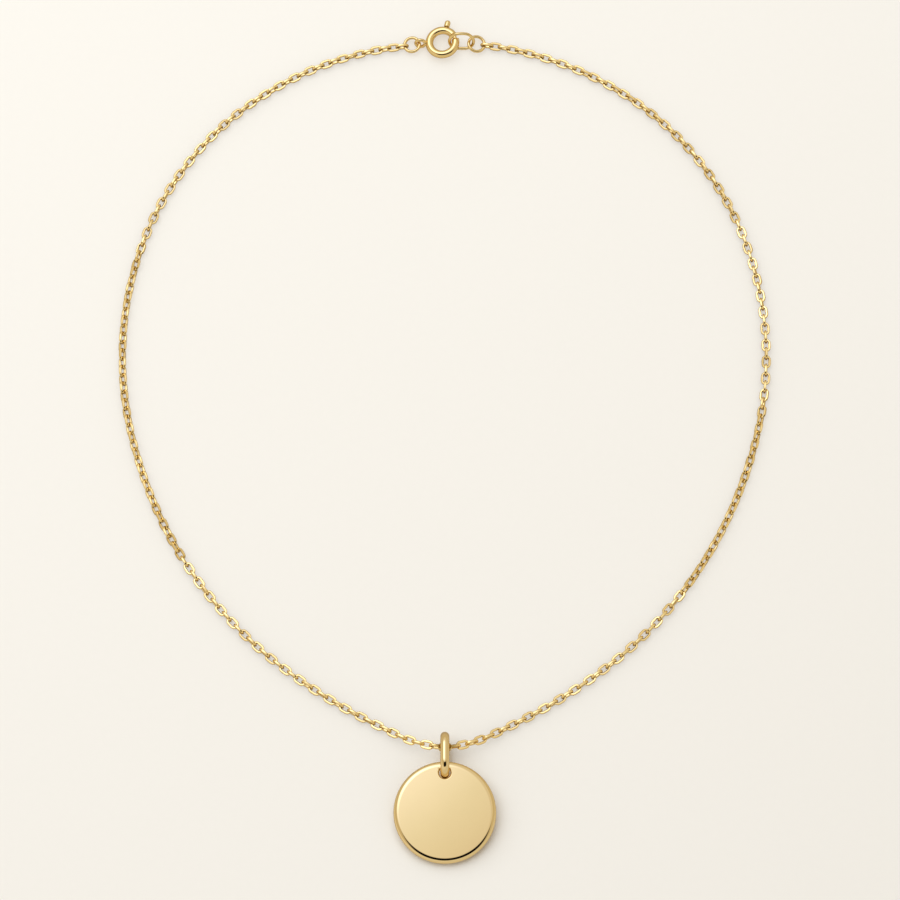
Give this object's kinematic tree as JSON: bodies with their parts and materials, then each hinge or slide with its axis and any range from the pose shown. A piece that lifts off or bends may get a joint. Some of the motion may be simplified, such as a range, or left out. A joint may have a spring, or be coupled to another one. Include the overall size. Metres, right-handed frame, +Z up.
{
  "type": "disc pendant necklace",
  "caption": "Plain round disc pendant on an oval bail and a fine oval cable chain, closed by a spring ring clasp, lying flat as a whole loop.",
  "frame": {"origin": "the middle of the neck opening, on the surface that the necklace lies on, halfway between the link in the bail and the clasp's centre", "axes": "+Z up from the surface, +Y from the pendant towards the clasp, +X to the right of the wearer's view in the picture"},
  "size_m": [0.1312, 0.1791, 0.0064],
  "materials": {
    "pendant_gold": "gold plated, mirror polished",
    "chain_gold": "gold plated, tumbled bright",
    "clasp_gold": "gold plated, polished"
  },
  "bodies": {
    "necklace": {"disc": "pendant_gold", "bail": "pendant_gold", "chain_left": "chain_gold", "chain_right": "chain_gold", "clasp_ring": "clasp_gold", "jump_ring": "clasp_gold", "end_link": "clasp_gold", "end_ring": "clasp_gold"},
    "gate": {"clasp_gate": "clasp_gold"}
  },
  "joints": [
    {"name": "gate_open", "type": "hinge", "parent": "necklace", "child": "gate", "pos_m": [-0.00055, 0.0756, 0.00157], "axis": [-0.0942, 0, 0.9956], "range_deg": [0, 32], "stiffness_Nm_per_rad": 0.004, "springref_deg": -22.92}
  ]
}
